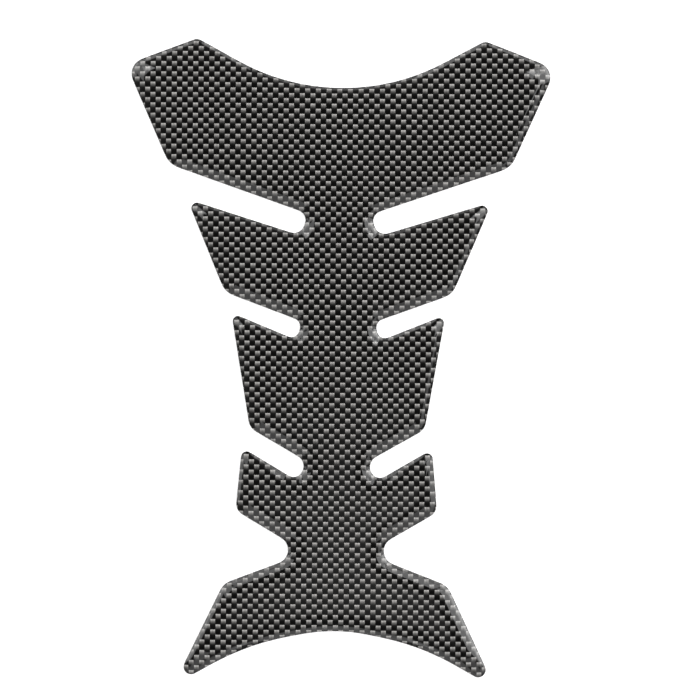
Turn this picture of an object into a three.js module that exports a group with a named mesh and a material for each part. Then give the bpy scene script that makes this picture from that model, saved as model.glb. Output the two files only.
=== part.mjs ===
// Motorcycle tank pad: a die-cut adhesive film, printed and covered by a dome of clear resin.
//
// Millimetres. +X runs across the tank, +Y from the pad's tail to its wings, +Z out of the tank.
// The adhesive face lies on z = 0, and the origin is under the middle of the pad.
//
// The outline is drawn as sharp corners joined by straight edges, and every corner is then rounded.
// The resin is poured and set as a liquid would stand: steep at the film's edge, level at the crown.
// Each contour of the dome is the outline moved inwards, so the dome is lofted through such contours.
import * as THREE from "three";

const PAD_COLOUR = 0x474441;
const PAD_ROUGHNESS = 0.12;

// The film's thickness, and the resin's height above it at the crown
const FILM_THICKNESS = 0.3;
const RESIN_HEIGHT = 1.5;
// Film left bare between its cut edge and the foot of the resin
const RESIN_MARGIN = 0.15;
// Slope of the resin at its foot, and the slope below which its crown counts as level, in degrees
const FOOT_SLOPE = 50;
const CROWN_SLOPE = 2;
// Contours between the foot and the crown, and the most that a facet may depart from a true arc
const DOME_STEPS = 7;
const ARC_SAG = 0.03;

// Sharp corners of the outline, each with the radius that rounds it. A span is the distance between
// a corner and its twin on the other side, and a height is measured up from the ends of the tail.

// Forked tail: the hollow between its prongs, and one prong
const TAIL_DIP = { span: 0, height: 15.8, radius: 54.3 };
const TAIL_HOLLOW = { span: 57.2, height: 10.2, radius: 83.7 };
const TAIL_TIP = { span: 106.2, height: -3.6, radius: 2.5 };
const TAIL_SHOULDER = { span: 74, height: 30.1, radius: 6.0 };
// Notch between the tail and the lowest rib
const NOTCH = { span: 19.6, height: 40.5, radius: 4.6 };
// Ribs and the slots above them, from the tail up
const RIBS = [
  { heel: { span: 66.6, height: 54.3, radius: 4.0 }, tip: { span: 62.8, height: 75.1, radius: 1.9 } },
  { heel: { span: 57.8, height: 81.6, radius: 4.6 }, tip: { span: 70.8, height: 119.6, radius: 1.7 } },
  { heel: { span: 75.2, height: 126.4, radius: 6.7 }, tip: { span: 100.8, height: 157.0, radius: 1.9 } },
];
const SLOTS = [
  { lower: { span: 27, height: 64.5, radius: 3.2 }, upper: { span: 18, height: 70.2, radius: 3.8 } },
  { lower: { span: 27.2, height: 110.7, radius: 2.7 }, upper: { span: 24, height: 117.0, radius: 2.9 } },
  { lower: { span: 25.6, height: 145.3, radius: 3.6 }, upper: { span: 20.4, height: 152.5, radius: 3.4 } },
];
// Wing, and the dip between the two wings
const WING_HEEL = { span: 113, height: 168.5, radius: 7.2 };
const WING_TIP = { span: 142, height: 201.2, radius: 5.3 };
const WING_PEAK = { span: 95, height: 210.2, radius: 2.9 };
const WING_DIP = { span: 0, height: 184.3, radius: 71.2 };

const radians = THREE.MathUtils.degToRad;

// The outline's corners all the way round, counterclockwise from the middle of the tail
function outlineCorners() {
  const half = [TAIL_HOLLOW, TAIL_TIP, TAIL_SHOULDER, NOTCH];
  RIBS.forEach((rib, i) => half.push(rib.heel, rib.tip, SLOTS[i].lower, SLOTS[i].upper));
  half.push(WING_HEEL, WING_TIP, WING_PEAK);
  const placed = (side) => ({ span, height, radius }) => {
    return { at: new THREE.Vector2((side * span) / 2, height), radius };
  };
  const right = [TAIL_DIP, ...half, WING_DIP].map(placed(1));
  const left = half.toReversed().map(placed(-1));
  return [...right, ...left];
}

// Adds to each corner the directions of its two edges, and its turn, which is positive where the
// film's corner sticks out and negative where a slot or hollow comes in
function withEdges(corners) {
  return corners.map(({ at, radius }, i) => {
    const before = corners.at(i - 1).at;
    const after = corners[(i + 1) % corners.length].at;
    const into = at.clone().sub(before).normalize();
    const out = after.clone().sub(at).normalize();
    const turn = Math.atan2(into.cross(out), into.dot(out));
    const facets = Math.max(2, Math.ceil(Math.abs(turn) / (2 * Math.acos(1 - ARC_SAG / radius))));
    return { at, radius, into, out, turn, facets };
  });
}

// How far surface tension is felt in the resin, from the dome's height and its two slopes
const rise = (slope) => Math.sin(radians(slope) / 2);
const CAPILLARY_LENGTH = RESIN_HEIGHT / (2 * (rise(FOOT_SLOPE) - rise(CROWN_SLOPE)));

// Radius of a contour at a corner. Round a slot it grows with the inset. On a corner that sticks
// out, the contours settle on the round that surface tension gives to a corner of that angle.
function contourRadius({ radius, turn }, inset) {
  if (turn < 0) return radius + inset;
  const natural = (CAPILLARY_LENGTH * Math.LN2) / (1 - Math.cos(turn / 2));
  const settled = Math.min(natural, radius + inset);
  return THREE.MathUtils.lerp(settled, radius, Math.exp(-inset / CAPILLARY_LENGTH));
}

// The sharp corner moved inwards along its bisector, so that both its edges move in by the inset
function insetCorner({ at, into, turn }, inset) {
  const inwards = new THREE.Vector2(-into.y, into.x).rotateAround(new THREE.Vector2(), turn / 2);
  return at.clone().addScaledVector(inwards, inset / Math.cos(turn / 2));
}

// Points of the contour at this inset. A radius is cut down where its edges are too short for it.
function contour(corners, inset) {
  const places = corners.map((c) => insetCorner(c, inset));
  const radii = corners.map((c) => contourRadius(c, inset));
  const tangents = corners.map((c, i) => radii[i] * Math.tan(Math.abs(c.turn) / 2));
  const room = corners.map((c, i) => {
    const next = (i + 1) % corners.length;
    return places[i].distanceTo(places[next]) / (tangents[i] + tangents[next]);
  });
  return corners.flatMap((c, i) => {
    const fit = Math.min(1, room[i], room.at(i - 1));
    const start = places[i].clone().addScaledVector(c.into, -tangents[i] * fit);
    const side = Math.sign(c.turn) * radii[i] * fit;
    const centre = start.clone().addScaledVector(new THREE.Vector2(-c.into.y, c.into.x), side);
    return Array.from({ length: c.facets + 1 }, (_, k) =>
      start.clone().rotateAround(centre, (c.turn * k) / c.facets),
    );
  });
}

// Inset and height of each contour of the dome: the section of a liquid's edge, taken at slopes
// that fall from the foot's to the crown's by equal ratios
function domeLevels() {
  const reach = (slope) => Math.acosh(1 / rise(slope)) - 2 * Math.cos(radians(slope) / 2);
  return Array.from({ length: DOME_STEPS + 1 }, (_, step) => {
    const slope = FOOT_SLOPE * (CROWN_SLOPE / FOOT_SLOPE) ** (step / DOME_STEPS);
    const inset = RESIN_MARGIN + CAPILLARY_LENGTH * (reach(slope) - reach(FOOT_SLOPE));
    const height = 2 * CAPILLARY_LENGTH * (rise(FOOT_SLOPE) - rise(slope));
    return { inset, z: FILM_THICKNESS + height };
  });
}

// Closed surface through rings of equally many points, from the lowest ring to the highest
function loft(rings) {
  const count = rings[0].length;
  const vertices = rings.flat();
  const faces = [];
  for (let level = 0; level < rings.length - 1; level++) {
    for (let i = 0; i < count; i++) {
      const here = level * count + i;
      const next = level * count + ((i + 1) % count);
      faces.push([here, next, next + count], [here, next + count, here + count]);
    }
  }
  const last = (rings.length - 1) * count;
  for (const [a, b, c] of THREE.ShapeUtils.triangulateShape(rings[0], [])) faces.push([a, c, b]);
  for (const cap of THREE.ShapeUtils.triangulateShape(rings.at(-1), [])) {
    faces.push(cap.map((i) => i + last));
  }
  const geometry = new THREE.BufferGeometry().setFromPoints(vertices);
  geometry.setIndex(faces.flat());
  geometry.computeVertexNormals();
  return geometry;
}

function padGeometry() {
  const corners = withEdges(outlineCorners());
  const cut = contour(corners, 0);
  const middle = new THREE.Box2().setFromPoints(cut).getCenter(new THREE.Vector2());
  const levels = [{ inset: 0, z: 0 }, { inset: 0, z: FILM_THICKNESS }, ...domeLevels()];
  return loft(
    levels.map(({ inset, z }) =>
      contour(corners, inset).map((p) => new THREE.Vector3(p.x - middle.x, p.y - middle.y, z)),
    ),
  );
}

function tankPad() {
  const material = new THREE.MeshStandardMaterial({ color: PAD_COLOUR, roughness: PAD_ROUGHNESS });
  const pad = new THREE.Mesh(padGeometry(), material);
  pad.name = "tank_pad";
  return pad;
}

const part = new THREE.Group();
part.add(tankPad());

export default part;
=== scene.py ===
"""Domed motorcycle tank pad lying face up on a pale table, modelled and finished around its frame.

Everything is in metres. +X runs across the pad, +Y from its forked tail to its wings, and +Z up.
"""

import math

import bmesh
import bpy
from bpy.props import (
    FloatProperty,
    FloatVectorProperty,
    IntProperty,
    PointerProperty,
)
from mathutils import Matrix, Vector


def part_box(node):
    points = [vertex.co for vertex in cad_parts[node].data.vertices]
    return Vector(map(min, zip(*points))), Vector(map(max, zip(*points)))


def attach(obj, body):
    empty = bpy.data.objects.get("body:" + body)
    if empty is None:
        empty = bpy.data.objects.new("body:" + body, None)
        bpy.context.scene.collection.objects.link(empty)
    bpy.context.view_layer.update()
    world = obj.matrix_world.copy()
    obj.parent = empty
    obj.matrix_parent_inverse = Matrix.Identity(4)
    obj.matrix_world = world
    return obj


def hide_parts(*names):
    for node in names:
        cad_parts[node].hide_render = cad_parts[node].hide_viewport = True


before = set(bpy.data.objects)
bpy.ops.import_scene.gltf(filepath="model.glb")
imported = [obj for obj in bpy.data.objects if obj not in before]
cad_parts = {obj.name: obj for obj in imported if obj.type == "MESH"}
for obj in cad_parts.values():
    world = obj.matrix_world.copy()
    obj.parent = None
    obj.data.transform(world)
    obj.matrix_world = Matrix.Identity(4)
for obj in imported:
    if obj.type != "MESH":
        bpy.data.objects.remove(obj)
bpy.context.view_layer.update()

bl_info = {
    "name": "Domed Tank Pad",
    "version": (1, 0, 0),
    "blender": (4, 5, 0),
    "location": "View3D > Sidebar > Tank Pad",
    "description": "Models a resin-domed tank pad with a woven print and sets the stage for it",
    "category": "Object",
}

MM = 0.001
PAD_NODE = "tank_pad"
PAD_PIECE = "domed_pad"
# Places of the pad's materials among its slots
PRINT, CUT_EDGE, ADHESIVE = range(3)

# How close a corner lies to a height, or to a cutting plane, to count as on it
LEVEL_TOLERANCE = 0.01 * MM
CUT_TOLERANCE = 0.02 * MM
# A facet counts as upright where its normal's z is smaller than this
UPRIGHT_LIMIT = 0.01

# Exponent of the curve that rounds off a light cell's lower corners
CORNER_CURVE = 2.7
# Exponent that turns a display tone into the brightness of the ink
DISPLAY_GAMMA = 2.2

# Streaks a millimetre along the cut edge and up it, and the range of its tone and roughness
STREAKS_ALONG = 4
STREAKS_UP = 0.5
EDGE_TONES = (0.7, 1.3)
EDGE_ROUGHNESS = (0.45, 0.65)
# Mottles a millimetre on the adhesive, and the range of its tone and roughness
MOTTLES = 0.35
ADHESIVE_TONES = (0.92, 1.08)
ADHESIVE_ROUGHNESS = (0.3, 0.55)

# Colour of the room's light, and of the sky as the camera sees it
WHITE = (1.0, 1.0, 1.0, 1.0)
# Sides of the round table's polygon
TABLE_SIDES = 96
# The camera sees from its height divided by this to its height times this
CLIP_RATIO = 100


class PadForm(bpy.types.PropertyGroup):
    """How finely the pad's solid is worked up into its smooth form"""

    weld: FloatProperty(
        name="Weld Distance",
        description="Corners of the solid closer than this are one",
        default=0.001 * MM,
        unit="LENGTH",
        precision=6,
    )
    stretch: FloatProperty(
        name="Longest Facet",
        description="Longest stretch of the outline left in one facet before it is smoothed",
        default=4.0 * MM,
        unit="LENGTH",
        precision=5,
    )
    flat_margin: FloatProperty(
        name="Flat Margin",
        description="Width of the even band just inside the edge of the crown and of the back",
        default=0.4 * MM,
        unit="LENGTH",
        precision=5,
    )
    flat_cell: FloatProperty(
        name="Flat Cell",
        description="Size of the square cells that the crown and the back are cut into",
        default=10.0 * MM,
        unit="LENGTH",
        precision=5,
    )
    smoothing: IntProperty(
        name="Smoothing",
        description="Levels of subdivision that round the dome",
        default=2,
        min=0,
        max=3,
    )


class WeavePrint(bpy.types.PropertyGroup):
    """The checkered carbon weave that is printed on the film"""

    column: FloatProperty(
        name="Column Width",
        description="Width of one column of the checker",
        default=1.76 * MM,
        unit="LENGTH",
        precision=6,
    )
    row: FloatProperty(
        name="Row Height",
        description="Height of one light cell and the dark cell below it",
        default=3.405 * MM,
        unit="LENGTH",
        precision=6,
    )
    column_phase: FloatProperty(
        name="Column Phase",
        description="Part of a column by which the print is shifted across the pad",
        default=0.5663,
    )
    turn: FloatProperty(
        name="Turn",
        description="Turn of the print on the pad",
        default=math.radians(0.15),
        subtype="ANGLE",
    )
    row_phase: FloatProperty(
        name="Row Phase",
        description="Part of a row by which the print is shifted up the pad",
        default=0.6709,
    )
    light_share: FloatProperty(
        name="Light Cell, Height",
        description="Part of a row's height that its light cell takes",
        default=0.4466,
        min=0.0,
        max=1.0,
        subtype="FACTOR",
    )
    light_width: FloatProperty(
        name="Light Cell, Width",
        description="Part of a column's width that its light cells take",
        default=0.874,
        min=0.0,
        max=1.0,
        subtype="FACTOR",
    )
    light_onset: FloatProperty(
        name="Light Cell, Onset",
        description="Part of a row's height over which a light cell brightens at its upper end",
        default=0.0936,
        min=0.001,
        max=0.5,
    )
    light_top: FloatProperty(
        name="Light Cell, Top",
        description="Display tone of a light cell at its upper end",
        default=0.753,
        min=0.0,
        max=1.0,
    )
    light_bottom: FloatProperty(
        name="Light Cell, Bottom",
        description="Display tone of a light cell at its lower end",
        default=0.229,
        min=0.0,
        max=1.0,
    )
    light_fall: FloatProperty(
        name="Light Cell, Fall",
        description="How quickly a light cell darkens downwards; 1 is evenly",
        default=1.398,
        min=0.1,
        max=5.0,
    )
    light_sides: FloatProperty(
        name="Light Cell, Sides",
        description="How much brighter a light cell is at its two sides than in its middle",
        default=0.128,
        min=0.0,
        max=1.0,
        subtype="FACTOR",
    )
    light_corners: FloatProperty(
        name="Light Cell, Corners",
        description="Part of a light cell's height that is rounded off at its lower corners",
        default=0.188,
        min=0.0,
        max=1.0,
        subtype="FACTOR",
    )
    dark_top: FloatProperty(
        name="Dark Cell, Top",
        description="Display tone of a dark cell at its upper end",
        default=0.204,
        min=0.0,
        max=1.0,
    )
    dark_bottom: FloatProperty(
        name="Dark Cell, Bottom",
        description="Display tone of a dark cell at its lower end",
        default=0.072,
        min=0.0,
        max=1.0,
    )
    dark_fall: FloatProperty(
        name="Dark Cell, Fall",
        description="How quickly a dark cell darkens downwards; 1 is evenly",
        default=4.55,
        min=0.1,
        max=10.0,
    )
    tint: FloatVectorProperty(
        name="Ink Tint",
        description="Warmth of the print's greys",
        default=(1.03, 1.0, 0.965),
        subtype="COLOR",
        min=0.0,
        max=2.0,
    )
    fibre: FloatProperty(
        name="Fibre Pitch",
        description="Width of one printed fibre",
        default=0.18 * MM,
        unit="LENGTH",
        precision=6,
    )
    fibre_contrast: FloatProperty(
        name="Fibre Contrast",
        description="How much one fibre's tone departs from the next",
        default=0.11,
        min=0.0,
        max=1.0,
        subtype="FACTOR",
    )
    cell_contrast: FloatProperty(
        name="Cell Contrast",
        description="How much one cell's tone departs from the next",
        default=0.08,
        min=0.0,
        max=1.0,
        subtype="FACTOR",
    )


class ResinFinish(bpy.types.PropertyGroup):
    """The clear dome over the print, the film's cut edge and its adhesive back"""

    gloss: FloatProperty(
        name="Resin Roughness",
        description="Roughness of the set resin's surface",
        default=0.035,
        min=0.0,
        max=1.0,
        subtype="FACTOR",
    )
    ior: FloatProperty(
        name="Resin IOR",
        description="Index of refraction of clear polyurethane",
        default=1.5,
        min=1.0,
        max=3.0,
    )
    edge_colour: FloatVectorProperty(
        name="Cut Edge",
        description="Colour of the vinyl film where the die cut it",
        default=(0.12, 0.115, 0.11),
        subtype="COLOR",
        min=0.0,
        max=1.0,
    )
    back_colour: FloatVectorProperty(
        name="Adhesive",
        description="Colour of the adhesive over the film's back",
        default=(0.42, 0.42, 0.41),
        subtype="COLOR",
        min=0.0,
        max=1.0,
    )


class StudioStage(bpy.types.PropertyGroup):
    """Camera, lamps and table"""

    lens: FloatProperty(
        name="Lens",
        description="Focal length of the camera",
        default=100.0,
        unit="CAMERA",
    )
    field: FloatProperty(
        name="Field",
        description="Width of the table that the picture takes in",
        default=231.41 * MM,
        unit="LENGTH",
        precision=5,
    )
    aim_x: FloatProperty(
        name="Aim X",
        description="Where the camera aims, across the pad",
        default=3.944 * MM,
        unit="LENGTH",
        precision=5,
    )
    aim_y: FloatProperty(
        name="Aim Y",
        description="Where the camera aims, along the pad",
        default=2.738 * MM,
        unit="LENGTH",
        precision=5,
    )
    roll: FloatProperty(
        name="Roll",
        description="Turn of the camera about its line of sight",
        default=math.radians(0.6147),
        subtype="ANGLE",
    )
    table_colour: FloatProperty(
        name="Table",
        description="Brightness of the table's surface",
        default=0.93,
        min=0.0,
        max=1.0,
        subtype="FACTOR",
    )
    table_lift: FloatProperty(
        name="Table Lift",
        description="Brightness added to the table where the camera or a gloss sees it",
        default=0.2,
        min=0.0,
        max=1.0,
        subtype="FACTOR",
    )
    table_radius: FloatProperty(
        name="Table Radius",
        description="Radius of the table, wide enough to fill every view",
        default=12.0,
        unit="LENGTH",
    )
    table_gap: FloatProperty(
        name="Table Gap",
        description="Air left between the adhesive and the table",
        default=0.02 * MM,
        unit="LENGTH",
        precision=6,
    )
    lamp_distance: FloatProperty(
        name="Lamp Distance",
        description="Distance of the large lamps from the pad",
        default=10.0,
        unit="LENGTH",
    )
    room: FloatProperty(
        name="Room Light",
        description="Brightness of the dim room at the height of the table; it darkens upwards",
        default=0.24,
        min=0.0,
        max=1.0,
        subtype="FACTOR",
    )
    glow: FloatProperty(
        name="Ceiling Glow",
        description="Brightness of the pale patch of ceiling that the level crown reflects",
        default=0.304,
        min=0.0,
        max=2.0,
    )
    glow_x: FloatProperty(
        name="Glow X",
        description="Sine of the glow's angle from straight up, across the pad",
        default=0.02,
    )
    glow_y: FloatProperty(
        name="Glow Y",
        description="Sine of the glow's angle from straight up, along the pad",
        default=-0.112,
    )
    glow_radius: FloatProperty(
        name="Glow Radius",
        description="Sine of the angle from the glow's middle to where it has faded away",
        default=0.13,
    )


# Each lamp's name, its azimuth from the pad's right, its nearest and farthest angle from straight
# up and its width as seen from the pad, in degrees, and its brightness
SOFTBOXES = [
    ("key_low", 30.0, 64.0, 88.0, 46.0, 6.8),
    ("key_middle", 30.0, 50.0, 64.0, 46.0, 5.0),
    ("key_high_right", 22.0, 20.5, 50.0, 32.0, 3.3),
    ("key_high_back", 43.0, 26.0, 50.0, 14.0, 2.4),
    ("right", 0.0, 38.0, 88.0, 12.0, 2.35),
    ("back_right", 62.0, 64.0, 88.0, 20.0, 2.4),
    ("back", 90.0, 70.0, 88.0, 32.0, 1.1),
    ("back_left", 118.0, 58.0, 88.0, 26.0, 2.3),
    ("rim_low", 150.0, 66.0, 88.0, 36.0, 3.9),
    ("rim_middle", 152.0, 44.0, 66.0, 46.0, 2.5),
    ("rim_high", 150.0, 20.0, 44.0, 32.0, 2.1),
    ("left", 179.0, 62.0, 88.0, 9.0, 1.9),
    ("front_left", 242.0, 36.0, 88.0, 30.0, 1.1),
    ("front", 270.0, 45.0, 88.0, 26.0, 1.2),
    ("front_right", 299.0, 36.0, 88.0, 28.0, 1.15),
    ("right_front", 334.0, 36.0, 66.0, 32.0, 1.4),
    ("front_left_high", 240.0, 16.0, 36.0, 30.0, 1.2),
    ("front_right_high", 304.0, 18.0, 36.0, 30.0, 1.15),
]

# Middles of the tail's two shoulders, which the narrow lamps face
RIGHT_SHOULDER = (23.0 * MM, -72.0 * MM, 0.0)
LEFT_SHOULDER = (-23.0 * MM, -72.0 * MM, 0.0)
# The narrow lamps, given in the same way, and then the distance of each and the place it faces
STRIPS = [
    ("tail_right", 60.0, 28.0, 62.0, 11.3, 2.9, 0.75, RIGHT_SHOULDER),
    ("tail_right_top", 57.0, 18.0, 28.0, 10.2, 2.9, 2.0, RIGHT_SHOULDER),
    ("tail_left", 121.0, 28.0, 62.0, 10.5, 2.3, 0.75, LEFT_SHOULDER),
    ("tail_left_top", 123.0, 21.5, 28.0, 9.2, 2.0, 2.0, LEFT_SHOULDER),
]

SETTINGS = {
    "pad_form": PadForm,
    "weave_print": WeavePrint,
    "resin_finish": ResinFinish,
    "studio_stage": StudioStage,
}


class Value:
    """A socket's output, on which arithmetic adds Math nodes."""

    def __init__(self, graph, socket):
        self.graph = graph
        self.socket = socket

    def math(self, operation, *operands):
        return self.graph.node("ShaderNodeMath", {"operation": operation}, dict(enumerate(operands)))

    def __add__(self, other):
        return self.math("ADD", self, other)

    def __sub__(self, other):
        return self.math("SUBTRACT", self, other)

    def __rsub__(self, other):
        return self.math("SUBTRACT", other, self)

    def __mul__(self, other):
        return self.math("MULTIPLY", self, other)

    def __truediv__(self, other):
        return self.math("DIVIDE", self, other)

    def __pow__(self, other):
        return self.math("POWER", self, other)

    def __lt__(self, other):
        return self.math("LESS_THAN", self, other)

    __radd__ = __add__
    __rmul__ = __mul__

    def floor(self):
        return self.math("FLOOR", self)

    def fraction(self):
        return self.math("FRACT", self)

    def size(self):
        return self.math("ABSOLUTE", self)

    def larger(self, other):
        return self.math("MAXIMUM", self, other)

    def smaller(self, other):
        return self.math("MINIMUM", self, other)

    def smooth(self):
        """Eases from 0 to 1 while the number itself goes from 0 to 1."""
        ramp = {"Value": self, "From Min": 0.0, "From Max": 1.0, "To Min": 0.0, "To Max": 1.0}
        return self.graph.node("ShaderNodeMapRange", {"interpolation_type": "SMOOTHSTEP"}, ramp)


class Graph:
    """The node tree of a material or world."""

    def __init__(self, owner):
        owner.use_nodes = True
        self.tree = owner.node_tree
        self.tree.nodes.clear()

    def node(self, kind, settings=None, sockets=None, output=0):
        made = self.tree.nodes.new(kind)
        for name, value in (settings or {}).items():
            setattr(made, name, value)
        for key, value in (sockets or {}).items():
            if isinstance(value, Value):
                self.tree.links.new(value.socket, made.inputs[key])
            else:
                made.inputs[key].default_value = value
        return Value(self, made.outputs[output]) if made.outputs else None

    def position(self, turn=0.0):
        """The place on the object, in millimetres, as its three coordinates, along a pattern that
        is turned by this angle."""
        place = self.node("ShaderNodeTexCoord", output="Object")
        placed = self.node(
            "ShaderNodeMapping",
            {"vector_type": "POINT"},
            {"Vector": place, "Rotation": (0.0, 0.0, -turn), "Scale": (1 / MM,) * 3},
        )
        return self.parts(placed)

    def parts(self, vector):
        return [self.node("ShaderNodeSeparateXYZ", sockets={0: vector}, output=axis) for axis in "XYZ"]

    def vector(self, x, y, z=0.0):
        return self.node("ShaderNodeCombineXYZ", sockets={"X": x, "Y": y, "Z": z})

    def blend(self, mask, off, on):
        """A number that is off where the mask is 0 and on where it is 1."""
        return off + mask * (on - off)

    def scatter(self, x, y):
        """A number from -0.5 to 0.5, as good as random for each whole pair."""
        pair = {"Vector": self.vector(x, y)}
        return self.node("ShaderNodeTexWhiteNoise", {"noise_dimensions": "2D"}, pair) - 0.5

    def noise(self, dimensions, place, scale, detail):
        """Soft noise from 0 to 1."""
        sockets = {"Vector": place, "Scale": scale, "Detail": detail}
        return self.node("ShaderNodeTexNoise", {"noise_dimensions": dimensions}, sockets)

    def scaled(self, colour, factor):
        """A colour made lighter or darker by this factor."""
        return self.node("ShaderNodeVectorMath", {"operation": "SCALE"}, {0: colour, "Scale": factor})

    def surface(self, shader):
        self.node("ShaderNodeOutputMaterial", sockets={"Surface": shader})

    def principled(self, sockets):
        """Ends a material in a Principled shader with these sockets."""
        self.surface(self.node("ShaderNodeBsdfPrincipled", sockets=sockets))


def new_material(name):
    material = bpy.data.materials.new(name)
    return material, Graph(material)


def woven_print(weave, resin):
    """The print seen through clear resin: flat ink below, and the dome's gloss as a coat above."""
    material, graph = new_material("woven_print")
    x, y, _ = graph.position(weave.turn)
    columns = x / (weave.column / MM) + weave.column_phase + 1.0
    column = columns.floor()
    odd = (column * 0.5).fraction() * 2
    rows = weave.row_phase - y / (weave.row / MM) + odd * 0.5
    down = rows.fraction()
    side = (columns.fraction() * 2 - 1).size() / weave.light_width
    lower_end = (1 - side**CORNER_CURVE * weave.light_corners) * weave.light_share
    light = (down < lower_end) * (side < 1)
    up_light = 1 - down / weave.light_share
    up_dark = ((1 - down) / (1 - weave.light_share)).smaller(1.0)
    tone_light = up_light**weave.light_fall * (weave.light_top - weave.light_bottom) + weave.light_bottom
    tone_light = tone_light * (side * weave.light_sides + 1)
    tone_dark = up_dark**weave.dark_fall * (weave.dark_top - weave.dark_bottom) + weave.dark_bottom
    onset = (down / weave.light_onset).smooth()
    tone_light = graph.blend(onset, weave.dark_bottom, tone_light)
    pitch = weave.fibre / MM
    warp = graph.scatter((x / pitch).floor(), rows.floor())
    weft = graph.scatter(column, (y / pitch).floor())
    fibres = graph.blend(light, weft, warp) * weave.fibre_contrast
    cells = graph.scatter(column, rows.floor() * 2 + light) * weave.cell_contrast
    tone = graph.blend(light, tone_dark, tone_light) * (fibres + cells + 1)
    # The film is flat under the dome, so the ink's own normal points straight up
    level = graph.vector(0.0, 0.0, 1.0)
    graph.principled(
        {
            "Base Color": graph.scaled(weave.tint, tone**DISPLAY_GAMMA),
            "Roughness": 0.5,
            "Normal": level,
            "Specular IOR Level": 0.0,
            "Coat Weight": 1.0,
            "Coat Roughness": resin.gloss,
            "Coat IOR": resin.ior,
        }
    )
    return material


def cut_film(resin):
    """The thin edge of vinyl film, dull and faintly streaked by the die."""
    material, graph = new_material("cut_film")
    x, y, z = graph.position()
    place = graph.vector(x * STREAKS_ALONG, y * STREAKS_ALONG, z * STREAKS_UP)
    streaks = graph.noise("3D", place, 1.0, 2.0)
    tone = graph.blend(streaks, *EDGE_TONES)
    roughness = graph.blend(streaks, *EDGE_ROUGHNESS)
    graph.principled({"Base Color": graph.scaled(resin.edge_colour, tone), "Roughness": roughness})
    return material


def adhesive_back(resin):
    """The even, slightly mottled adhesive under the film."""
    material, graph = new_material("adhesive_back")
    x, y, _ = graph.position()
    mottle = graph.noise("2D", graph.vector(x, y), MOTTLES, 4.0)
    tone = graph.blend(mottle, *ADHESIVE_TONES)
    roughness = graph.blend(mottle, *ADHESIVE_ROUGHNESS)
    graph.principled({"Base Color": graph.scaled(resin.back_colour, tone), "Roughness": roughness})
    return material


def level_face(bm, height):
    """The flat face at this height, made whole from its facets."""
    facets = [f for f in bm.faces if all(abs(v.co.z - height) < LEVEL_TOLERANCE for v in f.verts)]
    return bmesh.ops.dissolve_faces(bm, faces=facets)["region"][0]


def contour_levels(bottom):
    """How many contours each corner of the solid lies above the bottom outline."""
    levels = dict.fromkeys(bottom.verts, 0)
    ring = set(levels)
    while ring:
        above = {edge.other_vert(v) for v in ring for edge in v.link_edges} - levels.keys()
        levels.update(dict.fromkeys(above, max(levels.values()) + 1))
        ring = above
    return levels


def dissolve_diagonals(bm, levels):
    """Makes quads of the facets between the contours. In a facet with one lower corner, the edge
    that leaves this corner is the diagonal."""
    diagonals = []
    for face in bm.faces:
        lowest = min(levels[v] for v in face.verts)
        below = [loop for loop in face.loops if levels[loop.vert] == lowest]
        if len(face.verts) == 3 and len(below) == 1:
            diagonals.append(below[0].edge)
    bmesh.ops.dissolve_edges(bm, edges=diagonals, use_verts=False, use_face_split=False)


def column_above(edge):
    """An edge of the bottom outline, and the edge over it on every contour up to the crown."""
    side = min(edge.link_loops, key=lambda loop: len(loop.face.verts))
    edges = [edge]
    while len(side.face.verts) == 4:
        far = side.link_loop_next.link_loop_next
        edges.append(far.edge)
        side = far.link_loop_radial_next
    return edges


def split_long_columns(bm, back, crown, stretch):
    """Cuts the long straight stretches of the side, so that no facet is longer than this. The two
    flat faces are taken off before the cuts and filled in again after them."""
    columns = {}
    for edge in back.edges:
        cuts = math.ceil(edge.calc_length() / stretch) - 1
        if cuts:
            columns.setdefault(cuts, []).extend(column_above(edge))
    bmesh.ops.delete(bm, geom=[back, crown], context="FACES_ONLY")
    for cuts, edges in columns.items():
        bmesh.ops.subdivide_edges(bm, edges=edges, cuts=cuts, use_grid_fill=True)
    rims = [edge for edge in bm.edges if edge.is_boundary]
    flats = bmesh.ops.holes_fill(bm, edges=rims)["faces"]
    return sorted(flats, key=lambda face: face.calc_center_median().z)


def cut_into_cells(bm, face, cell):
    """Cuts a flat face by a square grid of planes. It is cut as facets, which are joined again."""
    facets = bmesh.ops.triangulate(bm, faces=[face])
    for edge in facets["edges"]:
        edge.seam = True
    inside = facets["faces"]
    for axis in (Vector((1, 0, 0)), Vector((0, 1, 0))):
        reach = [v.co.dot(axis) for f in inside for v in f.verts]
        for step in range(math.ceil(min(reach) / cell), math.ceil(max(reach) / cell)):
            # Unlike sets, these keep their order, so that every run gives the same mesh
            edges = dict.fromkeys(edge for f in inside for edge in f.edges)
            corners = dict.fromkeys(v for f in inside for v in f.verts)
            cut = bmesh.ops.bisect_plane(
                bm,
                geom=[*inside, *edges, *corners],
                dist=CUT_TOLERANCE,
                plane_co=axis * step * cell,
                plane_no=axis,
            )
            inside = [part for part in cut["geom"] if isinstance(part, bmesh.types.BMFace)]
    seams = [edge for edge in bm.edges if edge.seam]
    bmesh.ops.dissolve_edges(bm, edges=seams, use_verts=True, use_face_split=False)


def keep_sharp(edges, crease):
    """Keeps these edges crisp under the smoothing."""
    for edge in edges:
        edge[crease] = 1.0
        edge.smooth = False


def add_piece(name, bm, materials):
    """A finished piece at the origin, which goes with the frame's one body."""
    mesh = bpy.data.meshes.new(name)
    bm.to_mesh(mesh)
    bm.free()
    for material in materials:
        mesh.materials.append(material)
    piece = bpy.data.objects.new(name, mesh)
    bpy.context.scene.collection.objects.link(piece)
    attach(piece, "root")
    return piece


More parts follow.
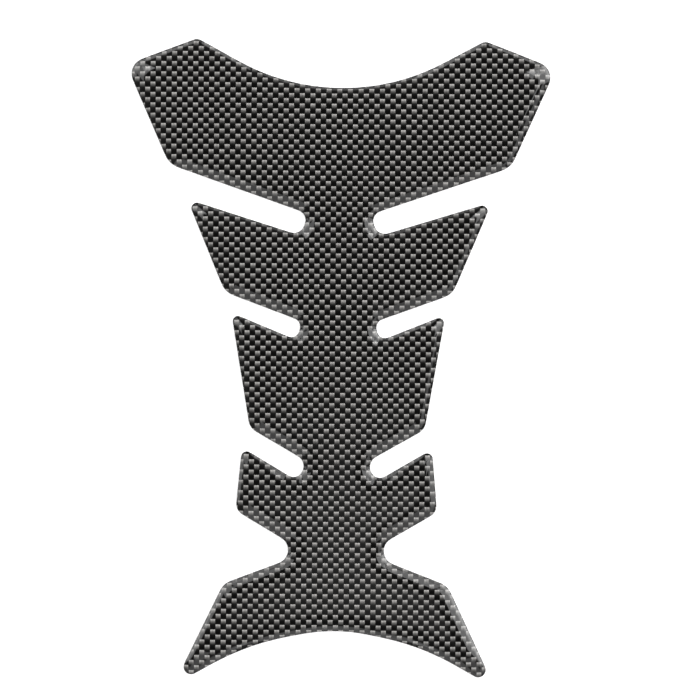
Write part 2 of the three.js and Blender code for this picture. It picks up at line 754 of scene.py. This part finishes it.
class TANKPAD_OT_domed_pad(bpy.types.Operator):
    """Works the pad's solid up into the smooth dome of resin on its printed film"""

    bl_idname = "tankpad.domed_pad"
    bl_label = "Model Domed Pad"

    def execute(self, context):
        scene = context.scene
        form = scene.pad_form
        bm = bmesh.new()
        bm.from_mesh(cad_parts[PAD_NODE].data)
        crease = bm.edges.layers.float.new("crease_edge")
        bmesh.ops.remove_doubles(bm, verts=bm.verts, dist=form.weld)
        low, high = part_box(PAD_NODE)
        back = level_face(bm, low.z)
        crown = level_face(bm, high.z)
        levels = contour_levels(back)
        dissolve_diagonals(bm, levels)
        # The film's lower and upper edges and the foot of the resin are the three lowest contours
        film = [edge for edge in bm.edges if {levels[v] for v in edge.verts} in ({0}, {1}, {2})]
        keep_sharp(film, crease)
        back, crown = split_long_columns(bm, back, crown, form.stretch)
        for face in bm.faces:
            upright = abs(face.normal.z) < UPRIGHT_LIMIT
            face.material_index = CUT_EDGE if upright else PRINT
        back.material_index = ADHESIVE
        for face in (back, crown):
            bmesh.ops.inset_region(bm, faces=[face], thickness=form.flat_margin, use_even_offset=True)
            cut_into_cells(bm, face, form.flat_cell)
        cells = [face for face in bm.faces if len(face.verts) > 4]
        bmesh.ops.connect_verts_concave(bm, faces=cells)
        for face in bm.faces:
            face.smooth = True
        materials = [
            woven_print(scene.weave_print, scene.resin_finish),
            cut_film(scene.resin_finish),
            adhesive_back(scene.resin_finish),
        ]
        piece = add_piece(PAD_PIECE, bm, materials)
        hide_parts(PAD_NODE)
        rounding = piece.modifiers.new("Smoothing", "SUBSURF")
        rounding.levels = form.smoothing
        rounding.render_levels = form.smoothing
        return {"FINISHED"}


class TANKPAD_OT_studio_stage(bpy.types.Operator):
    """Sets the table, the soft lamps round it and the camera straight above the pad"""

    bl_idname = "tankpad.studio_stage"
    bl_label = "Set Stage"

    def execute(self, context):
        scene = context.scene
        stage = scene.studio_stage
        self.table(scene, stage)
        self.room(scene, stage)
        for lamp in SOFTBOXES:
            self.softbox(scene, *lamp, stage.lamp_distance)
        for strip in STRIPS:
            self.softbox(scene, *strip)
        self.camera(scene, stage)
        scene.view_settings.view_transform = "Standard"
        return {"FINISHED"}

    def table(self, scene, stage):
        """A wide pale table just under the pad"""
        material, graph = new_material("pale_table")
        path = {
            ray: graph.node("ShaderNodeLightPath", output=ray)
            for ray in ("Is Camera Ray", "Is Glossy Ray", "Is Transmission Ray")
        }
        seen = path["Is Camera Ray"].larger(path["Is Glossy Ray"]).larger(path["Is Transmission Ray"])
        pale = (stage.table_colour,) * 3 + (1.0,)
        matt = graph.node("ShaderNodeBsdfDiffuse", sockets={"Color": pale})
        lift = graph.node("ShaderNodeEmission", sockets={"Strength": seen * stage.table_lift})
        graph.surface(graph.node("ShaderNodeAddShader", sockets={0: matt, 1: lift}))
        bm = bmesh.new()
        bmesh.ops.create_circle(bm, cap_ends=True, segments=TABLE_SIDES, radius=stage.table_radius)
        bmesh.ops.translate(bm, verts=bm.verts, vec=(0, 0, -stage.table_gap))
        mesh = bpy.data.meshes.new("table")
        bm.to_mesh(mesh)
        bm.free()
        mesh.materials.append(material)
        table = bpy.data.objects.new("table", mesh)
        scene.collection.objects.link(table)

    def room(self, scene, stage):
        """The dim room above the lamps, with a soft glow on its ceiling; the camera sees it white"""
        scene.world = bpy.data.worlds.new("room")
        graph = Graph(scene.world)
        direction = graph.node("ShaderNodeTexCoord", output="Generated")
        x, y, _ = graph.parts(direction)
        off_x = x - stage.glow_x
        off_y = y - stage.glow_y
        away = (off_x * off_x + off_y * off_y) ** 0.5 / stage.glow_radius
        light = (1 - away).smooth() * stage.glow + (x * x + y * y) * stage.room
        camera = graph.node("ShaderNodeLightPath", output="Is Camera Ray")
        strength = graph.blend(camera, light, 1.0)
        sky = graph.node("ShaderNodeBackground", sockets={"Color": WHITE, "Strength": strength})
        graph.node("ShaderNodeOutputWorld", sockets={"Surface": sky})

    def softbox(self, scene, name, azimuth, near, far, width, radiance, distance, faced=(0, 0, 0)):
        """A lamp that faces this place from this direction and spans these angles, in degrees"""
        azimuth, near, far, width = map(math.radians, (azimuth, near, far, width))
        polar = (near + far) / 2
        level = math.sin(polar)
        towards = Vector((level * math.cos(azimuth), level * math.sin(azimuth), math.cos(polar)))
        data = bpy.data.lights.new(name, "AREA")
        data.shape = "RECTANGLE"
        data.size = 2 * distance * level * math.tan(width / 2)
        data.size_y = 2 * distance * math.tan((far - near) / 2)
        data.energy = radiance * math.pi * data.size * data.size_y
        lamp = bpy.data.objects.new(name, data)
        lamp.location = Vector(faced) + towards * distance
        lamp.rotation_mode = "QUATERNION"
        lamp.rotation_quaternion = towards.to_track_quat("Z", "Y")
        lamp.visible_camera = False
        scene.collection.objects.link(lamp)

    def camera(self, scene, stage):
        """The camera, which looks straight down"""
        data = bpy.data.cameras.new("camera")
        data.lens = stage.lens
        camera = bpy.data.objects.new("camera", data)
        height = stage.field * data.lens / data.sensor_width
        camera.location = (stage.aim_x, stage.aim_y, height)
        camera.rotation_euler = (0.0, 0.0, stage.roll)
        data.clip_start = height / CLIP_RATIO
        data.clip_end = CLIP_RATIO * height
        scene.collection.objects.link(camera)
        scene.camera = camera


class TANKPAD_PT_sidebar(bpy.types.Panel):
    """Lists the settings and steps of the tank pad"""

    bl_idname = "TANKPAD_PT_sidebar"
    bl_label = "Domed Tank Pad"
    bl_space_type = "VIEW_3D"
    bl_region_type = "UI"
    bl_category = "Tank Pad"

    def draw(self, context):
        for name, group in SETTINGS.items():
            box = self.layout.box()
            box.label(text=name.replace("_", " ").title())
            for key in group.__annotations__:
                box.prop(getattr(context.scene, name), key)
        for step in STEPS:
            self.layout.operator(step.bl_idname)


STEPS = [TANKPAD_OT_domed_pad, TANKPAD_OT_studio_stage]
CLASSES = [*SETTINGS.values(), *STEPS, TANKPAD_PT_sidebar]


def register():
    for kind in CLASSES:
        bpy.utils.register_class(kind)
    for name, group in SETTINGS.items():
        setattr(bpy.types.Scene, name, PointerProperty(type=group))


def unregister():
    for name in SETTINGS:
        delattr(bpy.types.Scene, name)
    for kind in reversed(CLASSES):
        bpy.utils.unregister_class(kind)


def main():
    register()
    bpy.ops.tankpad.domed_pad()
    bpy.ops.tankpad.studio_stage()
    bpy.context.view_layer.update()


if __name__ == "__main__":
    main()
